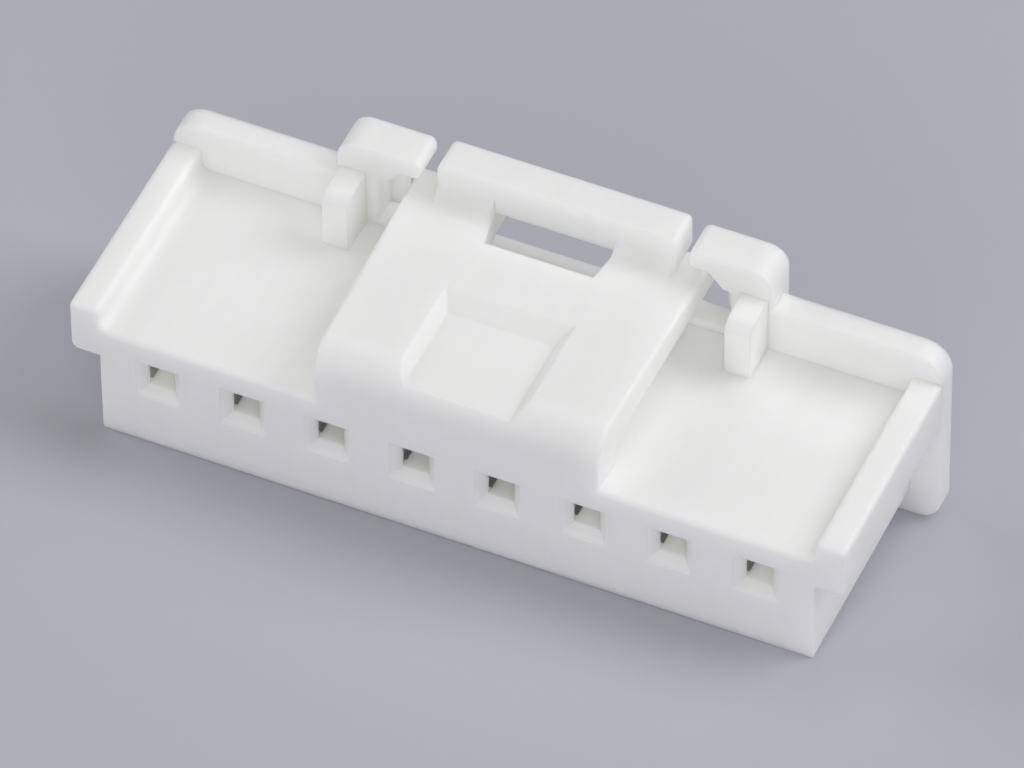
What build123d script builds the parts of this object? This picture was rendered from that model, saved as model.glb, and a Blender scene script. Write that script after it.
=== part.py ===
from build123d import *
import os

# Millimetres. X runs along the row, +Y from the mating face to the wires, +Z is up.
# The origin is on the mating face, at the middle of the row of pin axes.

# Row of contacts
circuits = 8
pitch = 2.0
end_margin = 1.37
pin_height = 1.95

# Body and the guide rails along its upper edges
body_depth = 5.27
body_height = 3.08
body_round = 0.12
body_toe_round = 0.04
body_corner_round = 0.10
rail_reach = 0.695
rail_height = 1.42
rail_rise = 0.57
rail_root_round = 0.24
rail_lower_round = 0.20

# Collar around the wire end
collar_thickness = 0.60
collar_rise = 1.21
collar_drop = 0.71
collar_top_corner = 0.65
collar_bottom_corner = 0.50
collar_round = 0.10
sill_rise = 0.18

# Latch plate, a cantilever from the mating face
latch_front_width = 6.66
latch_rear_width = 6.94
latch_rise = 1.39
latch_reach = 6.05
latch_tip_thickness = 0.69
latch_root_thickness = 0.84
latch_root_length = 1.00
latch_root_round = 0.30
latch_lip_drop = 0.26
latch_lean = 0.05
latch_nose_round = 0.80
latch_edge_round = 0.10

# Recess in the top of the latch, open to the front
recess_width = 3.00
recess_slope_run = 0.25
recess_depth = 0.28
recess_reach = 2.55
recess_ramp = 0.50

# Window through the latch, in front of the press bar
window_length = 0.79
window_front_width = 2.60
window_rear_width = 2.84
window_roll = 0.20

# Press bar, a bridge across the rear of the latch
bar_width = 5.64
bar_overhang = 0.35
bar_depth = 1.01
bar_height = 0.82
bar_rear_round = 0.15
bar_edge_round = 0.16
bar_end_round = 0.14
bar_root = 0.20
toe_radius = 0.50

# Guards that hook over the latch from both sides
guard_side_gap = 0.66
guard_post_width = 0.99
guard_depth = 1.03
guard_rise = 2.21
guard_overlap = 0.325
guard_lift_gap = 0.35
guard_haunch_drop = 0.41
guard_haunch_run = 0.34
guard_haunch_ledge = 0.18
guard_haunch_round = 0.16
guard_neck_round = 0.05
guard_outer_round = 0.48
guard_tip_round = 0.18
guard_rear_round = 0.13

# Ribs that brace the guards
rib_width = 0.61
rib_inset = 0.29
rib_depth = 0.97
rib_rise = 1.49
rib_round = 0.33

# Pin entries and terminal cavities
entry_size = 1.08
throat_size = 0.62
funnel_depth = 0.235
front_wall = 0.29
cavity_width = 1.50
cavity_headroom = 0.55
cavity_footroom = 1.20
lead_in = 0.15

# Locking lance on the floor of each cavity, and the trough in the underside that opens below the lances
lance_root = 0.42
lance_width = 0.60
lance_thickness = 0.45
lance_length = 2.15
lance_hook_rise = 0.25
lance_hook_length = 0.40
trough_start = 0.85
trough_overrun = 0.25

# Tolerance for picking corners and edges by their place
touch = 0.001

# Levels and places that follow from the sizes above
body_half = (circuits - 1) * pitch / 2 + end_margin
collar_half = body_half + rail_reach
underside = -pin_height
deck = underside + body_height
rail_top = deck + rail_rise
rail_underside = rail_top - rail_height
collar_top = deck + collar_rise
collar_bottom = underside - collar_drop
collar_rear = body_depth + collar_thickness
sill = deck + sill_rise
latch_top = deck + latch_rise
latch_lip = deck - latch_lip_drop
bar_rear = latch_reach + bar_overhang
bar_front = bar_rear - bar_depth
window_start = bar_front - window_length
bar_top = latch_top + bar_height
post_inner = latch_rear_width / 2 + guard_side_gap
post_outer = post_inner + guard_post_width
guard_tip = latch_rear_width / 2 - guard_overlap
guard_top = deck + guard_rise
guard_underside = latch_top + guard_lift_gap
haunch_underside = guard_underside - guard_haunch_drop
rib_middle = post_inner + rib_inset + rib_width / 2
cavity_floor = -cavity_footroom
lance_top = -throat_size / 2
lance_tip = lance_root + lance_length
trough_half = (circuits - 1) * pitch / 2 + cavity_width / 2


def across(depth):
    """Plane across the row at a depth behind the mating face, with Z as its local Y."""
    return Plane.XZ.offset(-depth)


def corners_at(sketch, level):
    """Corners of a sketch at one level."""
    return sketch.vertices().filter_by_position(Axis.Y, level - touch, level + touch)


# Body with its rails: one section along the whole depth
with BuildPart() as body:
    with BuildSketch(across(0)) as section:
        with BuildLine():
            Polyline(
                (0, underside),
                (body_half, underside),
                (body_half, rail_underside),
                (collar_half, rail_underside),
                (collar_half, rail_top),
                (body_half, rail_top),
                (body_half, deck),
                (0, deck),
                close=True,
            )
        make_face()
        mirror(about=Plane.YZ)
        fillet(corners_at(section, underside), body_corner_round)
        fillet(corners_at(section, rail_underside).sort_by(Axis.X)[0::3], rail_lower_round)
        fillet(corners_at(section, deck), rail_root_round)
        fillet(corners_at(section, rail_top), body_round)
    extrude(amount=-body_depth)
    mating_edges = body.faces().sort_by(Axis.Y)[0].edges()
    fillet(mating_edges.filter_by(lambda edge: edge.center().Z > rail_underside - touch), body_round)
    mating_edges = body.faces().sort_by(Axis.Y)[0].edges()
    fillet(mating_edges.filter_by(lambda edge: edge.center().Z < rail_underside - touch), body_toe_round)

# Collar plate and guards, flush at the front
with BuildPart() as collar:
    with BuildSketch(across(body_depth)) as plate:
        with Locations((0, collar_bottom)):
            Rectangle(2 * collar_half, collar_top - collar_bottom, align=(Align.CENTER, Align.MIN))
        fillet(plate.vertices().group_by(Axis.Y)[-1], collar_top_corner)
        fillet(plate.vertices().group_by(Axis.Y)[0], collar_bottom_corner)
        with Locations((0, sill)):
            Rectangle(2 * post_inner, collar_top, align=(Align.CENTER, Align.MIN), mode=Mode.SUBTRACT)
    extrude(amount=-collar_thickness)
    with BuildSketch(across(body_depth)) as hook:
        with BuildLine():
            outline = FilletPolyline(
                (post_inner, deck),
                (post_inner, haunch_underside),
                (post_inner - guard_haunch_ledge, haunch_underside),
                (post_inner - guard_haunch_ledge - guard_haunch_run, guard_underside),
                (guard_tip, guard_underside),
                (guard_tip, guard_top),
                (post_outer, guard_top),
                (post_outer, deck),
                radius=[
                    guard_neck_round,
                    guard_haunch_round,
                    guard_haunch_round,
                    guard_tip_round,
                    guard_tip_round,
                    guard_outer_round,
                ],
            )
            Line(outline @ 1, outline @ 0)
        make_face()
        mirror(about=Plane.YZ)
    extrude(amount=-guard_depth)
    fillet(collar.faces().sort_by(Axis.Y)[-2:].edges(), guard_rear_round)
    fillet(collar.faces().sort_by(Axis.Y)[0].edges(), collar_round)

# Press bar with the concave toe that runs down to the latch plate, and a root sunk into the plate
with BuildPart() as bar:
    with BuildSketch(Plane.YZ):
        with BuildLine():
            toe = RadiusArc(
                (bar_front - toe_radius, latch_top),
                (bar_front, latch_top + toe_radius),
                -toe_radius,
            )
            crest = FilletPolyline(
                toe @ 1,
                (bar_front, bar_top),
                (bar_rear, bar_top),
                (bar_rear, latch_top),
                radius=[bar_edge_round, bar_rear_round],
            )
            Polyline(
                crest @ 1,
                (latch_reach - bar_root, latch_top),
                (latch_reach - bar_root, latch_top - bar_root),
                (bar_front - toe_radius, latch_top - bar_root),
                toe @ 0,
            )
        make_face()
    extrude(amount=bar_width / 2, both=True)
    bar_ends = bar.faces().filter_by(Axis.X)
    fillet(
        bar_ends.edges().filter_by(lambda edge: edge.center().Z > latch_top + touch),
        bar_end_round,
    )

# Latch plate, cut to its tapered plan, with recess, window and press bar
with BuildPart() as latch:
    with BuildSketch(Plane.YZ):
        with BuildLine():
            blade = FilletPolyline(
                (0, latch_lip),
                (latch_lean, latch_top),
                (latch_reach, latch_top),
                (latch_reach, latch_top - latch_tip_thickness),
                (latch_root_length, latch_top - latch_root_thickness),
                (latch_root_length, latch_lip),
                radius=[latch_nose_round, latch_edge_round, latch_edge_round, latch_root_round],
            )
            Line(blade @ 1, blade @ 0)
        make_face()
    extrude(amount=latch_rear_width / 2, both=True)
    with BuildSketch(Plane.XY.offset(latch_lip)):
        with BuildLine():
            Polyline(
                (-latch_front_width / 2, 0),
                (latch_front_width / 2, 0),
                (latch_rear_width / 2, latch_reach),
                (-latch_rear_width / 2, latch_reach),
                close=True,
            )
        make_face()
    extrude(amount=latch_top - latch_lip, mode=Mode.INTERSECT)
    latch_sides = latch.faces().filter_by(lambda face: abs(face.normal_at().X) > 0.99)
    fillet(
        latch_sides.edges().filter_by_position(Axis.Z, latch_top - touch, latch_top + touch),
        latch_edge_round,
    )
    add(bar.part)
    with BuildSketch(Plane.XY.offset(latch_top - recess_depth)):
        Rectangle(
            recess_width - 2 * recess_slope_run,
            2 * recess_reach,
        )
    with BuildSketch(Plane.XY.offset(latch_top)):
        Rectangle(
            recess_width,
            2 * (recess_reach + recess_ramp),
        )
    loft(mode=Mode.SUBTRACT)
    with BuildSketch(Plane.XY.offset(latch_lip)) as slot:
        with BuildLine():
            Polyline(
                (-window_front_width / 2, window_start),
                (window_front_width / 2, window_start),
                (window_rear_width / 2, bar_front),
                (window_rear_width / 2, bar_rear),
                (-window_rear_width / 2, bar_rear),
                (-window_rear_width / 2, bar_front),
                close=True,
            )
        make_face()
    extrude(amount=latch_top - latch_lip, mode=Mode.SUBTRACT)
    with BuildSketch(Plane.XY.offset(latch_top)):
        with Locations((0, bar_front)):
            Rectangle(window_rear_width, window_length, align=(Align.CENTER, Align.MAX))
    extrude(amount=bar_height, mode=Mode.SUBTRACT)
    window_edge = latch.edges().filter_by(Axis.X).filter_by_position(
        Axis.Y, window_start - touch, window_start + touch
    )
    fillet(window_edge.sort_by(Axis.Z)[-1], window_roll)

# Ribs between the deck and the guards
with BuildPart() as rib:
    with BuildSketch(Plane.YZ.offset(rib_middle)) as flank:
        with Locations((body_depth, deck)):
            Rectangle(rib_depth, rib_rise, align=(Align.MAX, Align.MIN))
        fillet(flank.vertices().sort_by(Axis.X)[:2].sort_by(Axis.Y)[-1], rib_round)
    extrude(amount=rib_width / 2, both=True)
    mirror(about=Plane.YZ)

# One circuit's hollow: pin entry and terminal cavity, with the lance left standing
with BuildPart() as cavity:
    with BuildSketch(across(0)):
        Rectangle(entry_size, entry_size)
    with BuildSketch(across(funnel_depth)):
        Rectangle(throat_size, throat_size)
    loft()
    with BuildSketch(across(funnel_depth)):
        Rectangle(throat_size, throat_size)
    extrude(amount=funnel_depth - front_wall)
    with BuildSketch(across(front_wall)):
        with Locations((0, lance_top)):
            Rectangle(
                cavity_width,
                cavity_headroom - lance_top,
                align=(Align.CENTER, Align.MIN),
            )
    extrude(amount=front_wall - collar_rear)
    with BuildSketch(across(lance_root)):
        with Locations((0, cavity_floor)):
            Rectangle(
                cavity_width,
                lance_top - cavity_floor,
                align=(Align.CENTER, Align.MIN),
            )
    extrude(amount=lance_root - collar_rear)
    with BuildSketch(across(collar_rear - lead_in)):
        with Locations((0, (cavity_headroom - cavity_footroom) / 2)):
            Rectangle(cavity_width, cavity_headroom + cavity_footroom)
    with BuildSketch(across(collar_rear)):
        with Locations((0, (cavity_headroom - cavity_footroom) / 2)):
            Rectangle(
                cavity_width + 2 * lead_in,
                cavity_headroom + cavity_footroom + 2 * lead_in,
            )
    loft()
    with BuildSketch(Plane.YZ):
        with BuildLine():
            Polyline(
                (lance_root, lance_top),
                (lance_tip - 2 * lance_hook_length, lance_top),
                (lance_tip - lance_hook_length, lance_top + lance_hook_rise),
                (lance_tip, lance_top + lance_hook_rise),
                (lance_tip, lance_top - lance_thickness),
                (lance_root, lance_top - lance_thickness),
                close=True,
            )
        make_face()
    extrude(amount=lance_width / 2, both=True, mode=Mode.SUBTRACT)

# Housing: one moulding
with BuildPart() as housing:
    add(body.part)
    add(collar.part)
    add(rib.part)
    add(latch.part)
    with GridLocations(pitch, pitch, circuits, 1):
        add(cavity.part, mode=Mode.SUBTRACT)
    with BuildSketch(Plane.XY.offset(underside)):
        with Locations((0, trough_start)):
            Rectangle(
                2 * trough_half,
                lance_tip + trough_overrun - trough_start,
                align=(Align.CENTER, Align.MIN),
            )
    extrude(amount=cavity_floor - underside, mode=Mode.SUBTRACT)
housing.part.label = "housing"

os.makedirs("parts", exist_ok=True)
export_step(housing.part, "parts/housing.step")
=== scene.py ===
import math
import bmesh
import bpy
from mathutils import Matrix, Vector


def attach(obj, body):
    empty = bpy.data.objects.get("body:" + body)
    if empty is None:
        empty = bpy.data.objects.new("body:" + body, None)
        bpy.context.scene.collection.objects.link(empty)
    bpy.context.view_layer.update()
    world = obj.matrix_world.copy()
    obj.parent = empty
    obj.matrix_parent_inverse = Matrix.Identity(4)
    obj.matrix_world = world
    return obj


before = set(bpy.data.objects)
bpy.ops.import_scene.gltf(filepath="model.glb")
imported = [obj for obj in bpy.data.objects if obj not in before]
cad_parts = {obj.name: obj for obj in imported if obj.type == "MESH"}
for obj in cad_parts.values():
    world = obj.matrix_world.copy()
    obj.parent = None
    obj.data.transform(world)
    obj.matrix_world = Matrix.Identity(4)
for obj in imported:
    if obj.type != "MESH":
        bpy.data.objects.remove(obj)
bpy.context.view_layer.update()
MM = 0.001

# Camera fitted to the photo: bearings in degrees, lengths in millimetres
CAMERA_AZIMUTH = 24.494
CAMERA_ELEVATION = 47.447
CAMERA_ROLL = -0.692
CAMERA_DISTANCE = 255.42
CAMERA_SHIFT_RIGHT = 1.224
CAMERA_SHIFT_UP = 3.398
PIXELS_PER_MM = 46.525
PHOTO_WIDTH = 1024
SENSOR_WIDTH = 36.0

# Height of the pins, where the frame has its origin, over the underside, where the camera's fit has it
PIN_HEIGHT = 1.95

# The housing rests on the lower edge of its collar and the front edge of its underside
COLLAR_FRONT = 5.27
COLLAR_DROP = 0.71
FLOOR_HALF = 400.0
FLOOR_COLOUR = (0.50, 0.50, 0.562, 1)
FLOOR_ROUGHNESS = 0.8

# Soft lamps on a sphere around the housing: azimuth and elevation in degrees, diameter in millimetres, watts
LAMP_DISTANCE = 300.0
LAMPS = {
    "right": (122, 40, 200, 0.42),
    "left": (270, 28, 200, 0.28),
    "rear": (168, 60, 240, 0.19),
    "front": (24, 28, 240, 0.295),
    "front_left": (340, 22, 200, 0.12),
}
WORLD_STRENGTH = 0.10

# Nylon: colours and shares of light as red, green and blue
NYLON_LOW = (0.925, 0.932, 0.915)
NYLON_HIGH = (0.942, 0.946, 0.935)
FLOW_LOW = (0.985, 0.985, 0.985)
FLOW_HIGH = (1, 1, 1)
# Painted light: lighter, warmer colour for the pin entries, standing in for light that comes through the
# nylon walls
ENTRY_PAINTED_LIGHT = (0.99, 0.99, 0.955, 1)
LIGHT_PASSED = (0.50, 0.50, 0.475)
ROUGHNESS_LOW = 0.36
ROUGHNESS_HIGH = 0.50
NYLON_IOR = 1.53
SCATTER_RATIO = (1.0, 1.0, 0.9)
SCATTER_REACH = 0.4

# Marks of moulding: features per millimetre and depths in millimetres
EVEN = (1, 1, 1)
CLOUD_SCALE = 0.6
FLOW_STRETCH = (2.2, 0.5, 0.25)
FLOW_SCALE = 1.0
FLOW_DEPTH = 0.006
GRAIN_SCALE = 16.0
GRAIN_DEPTH = 0.002
SINK_SCALE = 0.9
SINK_DEPTH = 0.020
EDGE_SOFTNESS = 0.06
EDGE_SAMPLES = 4

# Part of a noise's values over which a colour or a number goes from low to high
COLOUR_START = 0.35
COLOUR_END = 0.65
NUMBER_START = 0.3
NUMBER_END = 0.7

# Band of the pin entries, which gets the painted light: its reach from the middle of the row, from the pins'
# level and from the mating face
ROW_HALF = 7.8
ENTRY_HALF = 0.56
ENTRY_START = 0.04

# Cheeks on the rear inner corners of the guards' posts
POST_INNER = 4.13
CHEEK_REACH = 0.34
CHEEK_SINK = 0.30
CHEEK_FRONT = 5.98
CHEEK_REAR = 6.26
CHEEK_BOTTOM = 1.13
CHEEK_TOP = 2.80
CHEEK_ROUND = 0.05
CHEEK_ROUND_STEPS = 3


def look_from(azimuth, elevation, roll=0.0):
    """Right, up and back vectors of a camera or lamp, from its bearings in degrees."""
    a = math.radians(azimuth)
    e = math.radians(elevation)
    r = math.radians(roll)
    back = Vector((math.sin(a) * math.cos(e), -math.cos(a) * math.cos(e), math.sin(e)))
    level = Vector((math.cos(a), math.sin(a), 0))
    rise = back.cross(level)
    right = math.cos(r) * level + math.sin(r) * rise
    up = -math.sin(r) * level + math.cos(r) * rise
    return right, up, back


def add_camera():
    """Camera at the photo's place."""
    right, up, back = look_from(CAMERA_AZIMUTH, CAMERA_ELEVATION, CAMERA_ROLL)
    place = CAMERA_DISTANCE * back + CAMERA_SHIFT_RIGHT * right + CAMERA_SHIFT_UP * up
    place.z -= PIN_HEIGHT
    data = bpy.data.cameras.new("camera")
    data.sensor_width = SENSOR_WIDTH
    data.lens = PIXELS_PER_MM * CAMERA_DISTANCE / PHOTO_WIDTH * SENSOR_WIDTH
    camera = bpy.data.objects.new("camera", data)
    camera.matrix_world = Matrix.Translation(place * MM) @ Matrix((right, up, back)).transposed().to_4x4()
    bpy.context.scene.collection.objects.link(camera)
    bpy.context.scene.camera = camera


def feed(tree, socket, value):
    """Link a socket to another socket, or give it a value."""
    if isinstance(value, bpy.types.NodeSocket):
        tree.links.new(value, socket)
    else:
        socket.default_value = value


def add_noise(tree, place, stretch, scale, detail, roughness=0.5):
    """Noise over the housing, with its scale in features per millimetre."""
    mapping = tree.nodes.new("ShaderNodeMapping")
    mapping.inputs["Scale"].default_value = [s / MM for s in stretch]
    noise = tree.nodes.new("ShaderNodeTexNoise")
    noise.inputs["Scale"].default_value = scale
    noise.inputs["Detail"].default_value = detail
    noise.inputs["Roughness"].default_value = roughness
    tree.links.new(place, mapping.inputs["Vector"])
    tree.links.new(mapping.outputs["Vector"], noise.inputs["Vector"])
    return noise.outputs["Fac"]


def add_ramp(tree, noise, low, high):
    """Colours from low to high over the middle of a noise."""
    ramp = tree.nodes.new("ShaderNodeValToRGB")
    first, last = ramp.color_ramp.elements
    first.position = COLOUR_START
    first.color = (*low, 1)
    last.position = COLOUR_END
    last.color = (*high, 1)
    tree.links.new(noise, ramp.inputs["Fac"])
    return ramp.outputs["Color"]


def add_range(tree, noise, low, high):
    """Numbers from low to high over the middle of a noise."""
    span = tree.nodes.new("ShaderNodeMapRange")
    span.inputs["From Min"].default_value = NUMBER_START
    span.inputs["From Max"].default_value = NUMBER_END
    span.inputs["To Min"].default_value = low
    span.inputs["To Max"].default_value = high
    tree.links.new(noise, span.inputs["Value"])
    return span.outputs["Result"]


def add_bump(tree, height, depth, normal):
    """Bump over a normal, whose full height is a depth in millimetres."""
    bump = tree.nodes.new("ShaderNodeBump")
    bump.inputs["Strength"].default_value = 1.0
    bump.inputs["Distance"].default_value = depth * MM
    tree.links.new(height, bump.inputs["Height"])
    tree.links.new(normal, bump.inputs["Normal"])
    return bump.outputs["Normal"]


def add_math(tree, operation, *values):
    """Result of a maths node over sockets and numbers."""
    node = tree.nodes.new("ShaderNodeMath")
    node.operation = operation
    for socket, value in zip(node.inputs, values):
        feed(tree, socket, value)
    return node.outputs["Value"]


def add_mix(tree, factor, first, second, blend="MIX"):
    """Mix of two colours, each a socket or a colour."""
    mix = tree.nodes.new("ShaderNodeMix")
    mix.data_type = "RGBA"
    mix.blend_type = blend
    for name, value in (("Factor", factor), ("A", first), ("B", second)):
        feed(tree, next(s for s in mix.inputs if s.name == name and s.enabled), value)
    return next(s for s in mix.outputs if s.enabled)


def inside_entries(tree, place):
    """Mask of the painted light: one in the band of the pin entries behind the mating face, and zero
    elsewhere.
    """
    split = tree.nodes.new("ShaderNodeSeparateXYZ")
    tree.links.new(place, split.inputs["Vector"])
    x, y, z = split.outputs
    behind = add_math(tree, "GREATER_THAN", y, ENTRY_START * MM)
    level = add_math(tree, "LESS_THAN", add_math(tree, "ABSOLUTE", z), ENTRY_HALF * MM)
    between = add_math(tree, "LESS_THAN", add_math(tree, "ABSOLUTE", x), ROW_HALF * MM)
    return add_math(tree, "MULTIPLY", add_math(tree, "MULTIPLY", behind, level), between)


def soft_edges(tree):
    """Normal that turns gently over each edge."""
    bevel = tree.nodes.new("ShaderNodeBevel")
    bevel.samples = EDGE_SAMPLES
    bevel.inputs["Radius"].default_value = EDGE_SOFTNESS * MM
    return bevel.outputs["Normal"]


def pass_light(tree, shader):
    """Let a share of the light through each surface, so that thin walls cast pale shadows."""
    path = tree.nodes.new("ShaderNodeLightPath")
    clear = tree.nodes.new("ShaderNodeBsdfTransparent")
    clear.inputs["Color"].default_value = (*LIGHT_PASSED, 1)
    blend = tree.nodes.new("ShaderNodeMixShader")
    tree.links.new(path.outputs["Is Shadow Ray"], blend.inputs["Fac"])
    tree.links.new(shader.outputs["BSDF"], blend.inputs[1])
    tree.links.new(clear.outputs["BSDF"], blend.inputs[2])
    tree.links.new(blend.outputs["Shader"], tree.nodes["Material Output"].inputs["Surface"])


def nylon():
    """Natural unfilled nylon: satin and slightly translucent, with a fine grain, sinks and flow marks, and
    painted light in the pin entries.
    """
    material = bpy.data.materials.new("natural_nylon")
    material.use_nodes = True
    tree = material.node_tree
    shader = tree.nodes["Principled BSDF"]
    place = tree.nodes.new("ShaderNodeTexCoord").outputs["Object"]
    cloud = add_noise(tree, place, EVEN, CLOUD_SCALE, 3)
    flow = add_noise(tree, place, FLOW_STRETCH, FLOW_SCALE, 3)
    grain = add_noise(tree, place, EVEN, GRAIN_SCALE, 3, 0.6)
    sink = add_noise(tree, place, EVEN, SINK_SCALE, 1)

    colour = add_ramp(tree, cloud, NYLON_LOW, NYLON_HIGH)
    colour = add_mix(tree, 1.0, colour, add_ramp(tree, flow, FLOW_LOW, FLOW_HIGH), "MULTIPLY")
    # Painted light: the pin entries are painted lighter and warmer, in place of light that comes through the
    # walls
    colour = add_mix(tree, inside_entries(tree, place), colour, ENTRY_PAINTED_LIGHT)
    tree.links.new(colour, shader.inputs["Base Color"])
    tree.links.new(add_range(tree, grain, ROUGHNESS_LOW, ROUGHNESS_HIGH), shader.inputs["Roughness"])

    surface = add_bump(tree, sink, SINK_DEPTH, soft_edges(tree))
    surface = add_bump(tree, flow, FLOW_DEPTH, surface)
    surface = add_bump(tree, grain, GRAIN_DEPTH, surface)
    tree.links.new(surface, shader.inputs["Normal"])

    shader.inputs["IOR"].default_value = NYLON_IOR
    shader.inputs["Subsurface Weight"].default_value = 1.0
    shader.inputs["Subsurface Radius"].default_value = SCATTER_RATIO
    shader.inputs["Subsurface Scale"].default_value = SCATTER_REACH * MM
    pass_light(tree, shader)
    return material


def add_cheeks(material):
    """Upright cheeks that narrow the gaps between the latch and the guards' posts at the rear."""
    shape = bmesh.new()
    size = Vector((CHEEK_REACH + CHEEK_SINK, CHEEK_REAR - CHEEK_FRONT, CHEEK_TOP - CHEEK_BOTTOM))
    for side in (-1, 1):
        middle = Vector((
            side * (POST_INNER + (CHEEK_SINK - CHEEK_REACH) / 2),
            (CHEEK_FRONT + CHEEK_REAR) / 2,
            (CHEEK_TOP + CHEEK_BOTTOM) / 2,
        ))
        place = Matrix.Translation(middle * MM) @ Matrix.Diagonal((*(size * MM), 1))
        bmesh.ops.create_cube(shape, size=1, matrix=place)
    upright = [e for e in shape.edges if abs(e.verts[0].co.z - e.verts[1].co.z) > CHEEK_ROUND * MM]
    bmesh.ops.bevel(shape, geom=upright, offset=CHEEK_ROUND * MM, segments=CHEEK_ROUND_STEPS,
                    profile=0.5, affect="EDGES")
    mesh = bpy.data.meshes.new("guard_cheeks")
    shape.to_mesh(mesh)
    shape.free()
    mesh.materials.append(material)
    cheeks = bpy.data.objects.new("guard_cheeks", mesh)
    bpy.context.scene.collection.objects.link(cheeks)
    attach(cheeks, "root")


def add_floor():
    """Floor of pale paper that touches the two edges on which the housing rests."""
    size = FLOOR_HALF * MM
    mesh = bpy.data.meshes.new("floor")
    corners = [(-size, -size, 0), (size, -size, 0), (size, size, 0), (-size, size, 0)]
    mesh.from_pydata(corners, [], [(0, 1, 2, 3)])
    floor = bpy.data.objects.new("floor", mesh)
    tilt = math.atan2(-COLLAR_DROP, COLLAR_FRONT)
    floor.matrix_world = Matrix.Translation((0, 0, -PIN_HEIGHT * MM)) @ Matrix.Rotation(tilt, 4, "X")
    bpy.context.scene.collection.objects.link(floor)
    material = bpy.data.materials.new("floor_paper")
    material.use_nodes = True
    shader = material.node_tree.nodes["Principled BSDF"]
    shader.inputs["Base Color"].default_value = FLOOR_COLOUR
    shader.inputs["Roughness"].default_value = FLOOR_ROUGHNESS
    mesh.materials.append(material)


def add_lamp(name, azimuth, elevation, size, power):
    """Round lamp that faces the housing."""
    right, up, back = look_from(azimuth, elevation)
    data = bpy.data.lights.new(name, "AREA")
    data.shape = "DISK"
    data.size = size * MM
    data.energy = power
    lamp = bpy.data.objects.new(name, data)
    place = Matrix.Translation(back * LAMP_DISTANCE * MM)
    lamp.matrix_world = place @ Matrix((right, up, back)).transposed().to_4x4()
    bpy.context.scene.collection.objects.link(lamp)


def add_world():
    """Faint white light from all sides."""
    world = bpy.data.worlds.new("studio")
    world.use_nodes = True
    background = world.node_tree.nodes["Background"]
    background.inputs["Color"].default_value = (1, 1, 1, 1)
    background.inputs["Strength"].default_value = WORLD_STRENGTH
    bpy.context.scene.world = world


bpy.context.scene.view_settings.view_transform = "Standard"
add_camera()
add_world()
add_floor()
for name, settings in LAMPS.items():
    add_lamp(name, *settings)
plastic = nylon()
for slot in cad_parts["housing"].material_slots:
    slot.material = plastic
add_cheeks(plastic)
